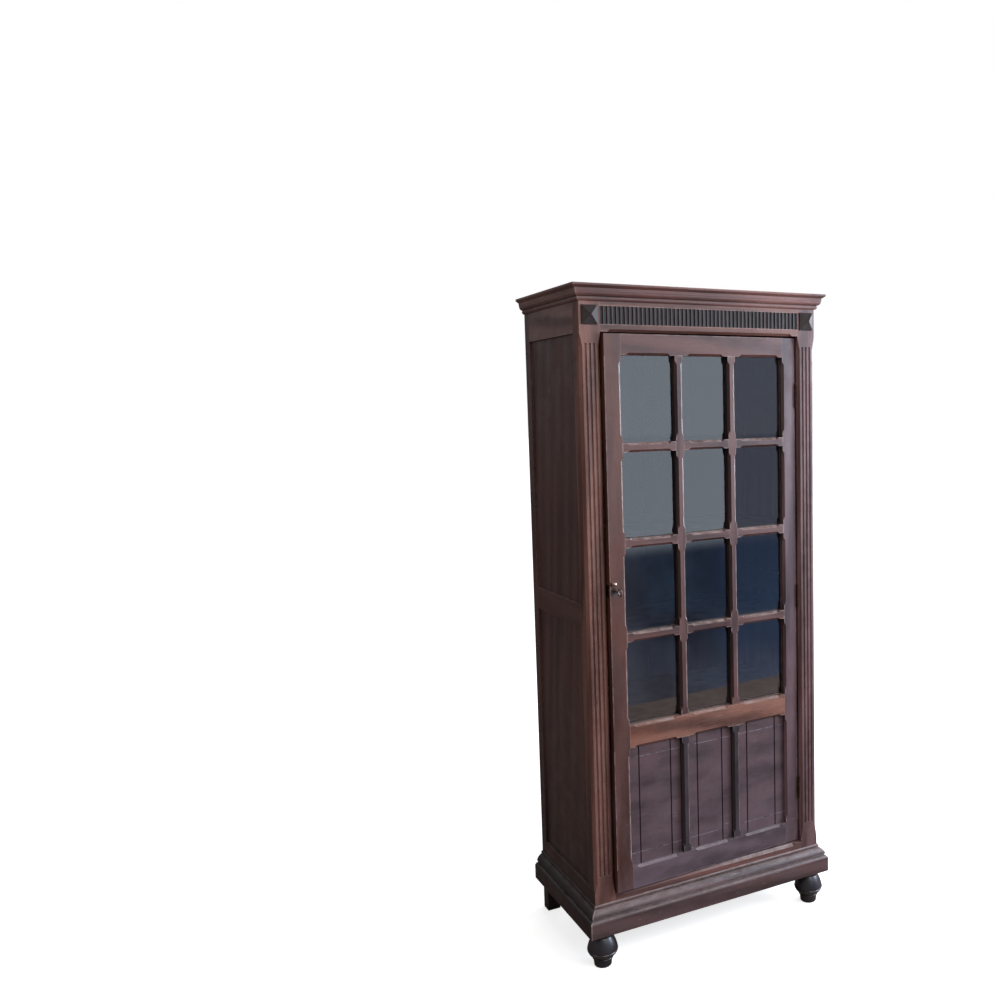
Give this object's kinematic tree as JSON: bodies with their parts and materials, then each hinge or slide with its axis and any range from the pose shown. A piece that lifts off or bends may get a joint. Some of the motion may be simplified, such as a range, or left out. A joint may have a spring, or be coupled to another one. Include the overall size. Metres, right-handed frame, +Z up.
{
  "type": "glass-door cabinet",
  "caption": "Tall free-standing wooden bookcase with a glazed and panelled door, fluted posts, moulded cornice and plinth, turned front feet and a key lock.",
  "frame": {"origin": "on the floor, below the middle of the outline with the key in its lock", "axes": "+X to the right as seen from the front, +Y to the back, +Z up"},
  "size_m": [0.8176, 0.4762, 1.9],
  "materials": {
    "case_wood": "dark stained and waxed, worn",
    "door_wood": "dark stained and waxed, worn",
    "foot_wood": "nearly black, polished",
    "inside_wood": "plain, thinly stained",
    "glass": "clear, slightly grey",
    "dark_iron": "darkened by age",
    "old_brass": "dull with age"
  },
  "bodies": {
    "case": {"front_left_post": "case_wood", "front_right_post": "case_wood", "rear_left_post": "case_wood", "rear_right_post": "case_wood", "left_side_top_rail": "case_wood", "right_side_top_rail": "case_wood", "left_side_mid_rail": "case_wood", "right_side_mid_rail": "case_wood", "left_side_bottom_rail": "case_wood", "right_side_bottom_rail": "case_wood", "left_side_upper_panel": "case_wood", "right_side_upper_panel": "case_wood", "left_side_lower_panel": "case_wood", "right_side_lower_panel": "case_wood", "frieze_rail": "case_wood", "fluted_frieze_strip": "case_wood", "corner_bosses": "case_wood", "back_top_rail": "inside_wood", "back_bottom_rail": "inside_wood", "back_boards": "inside_wood", "top_board": "case_wood", "front_bottom_rail": "case_wood", "floor_board": "inside_wood", "shelves": "inside_wood", "shelf_cleats": "inside_wood", "front_cornice": "case_wood", "left_cornice": "case_wood", "right_cornice": "case_wood", "front_plinth": "case_wood", "left_plinth": "case_wood", "right_plinth": "case_wood", "front_left_foot": "foot_wood", "front_right_foot": "foot_wood", "strike_plate": "dark_iron", "door_stop": "case_wood", "case_hinge_leaves": "old_brass", "case_hinge_screws": "old_brass", "hinge_pins": "old_brass"},
    "door": {"door_hinge_leaves": "old_brass", "door_hinge_screws": "old_brass", "door_left_stile": "door_wood", "door_right_stile": "door_wood", "door_top_rail": "door_wood", "door_mid_rail": "door_wood", "door_bottom_rail": "door_wood", "door_pull": "old_brass", "glazing_upright_left": "door_wood", "lower_muntin_left": "door_wood", "glazing_upright_right": "door_wood", "lower_muntin_right": "door_wood", "glazing_cross_bars": "door_wood", "glass_panes": "glass", "glazing_beads": "door_wood", "lower_panel_left": "door_wood", "lower_panel_centre": "door_wood", "lower_panel_right": "door_wood", "lock_case": "dark_iron", "keyhole_plate": "dark_iron"},
    "key": {"key": "dark_iron"},
    "bolt": {"lock_bolt": "old_brass"}
  },
  "joints": [
    {"name": "door_swing", "type": "hinge", "parent": "case", "child": "door", "pos_m": [0.3203, -0.16673, 0.9905], "axis": [0, 0, 1], "range_deg": [-2.3, 107.7]},
    {"name": "key_turn", "type": "hinge", "parent": "door", "child": "key", "pos_m": [-0.30665, -0.18811, 1.074], "axis": [0.0401, -0.9992, 0], "range_deg": [0, 360]},
    {"name": "bolt_slide", "type": "slide", "parent": "door", "child": "bolt", "axis": [-0.9992, -0.0401, 0], "range_m": [0, 0.009]}
  ],
  "couplings": [
    {"joint": "bolt_slide", "follows": "key_turn", "m_per_rad": 0.0014324}
  ]
}
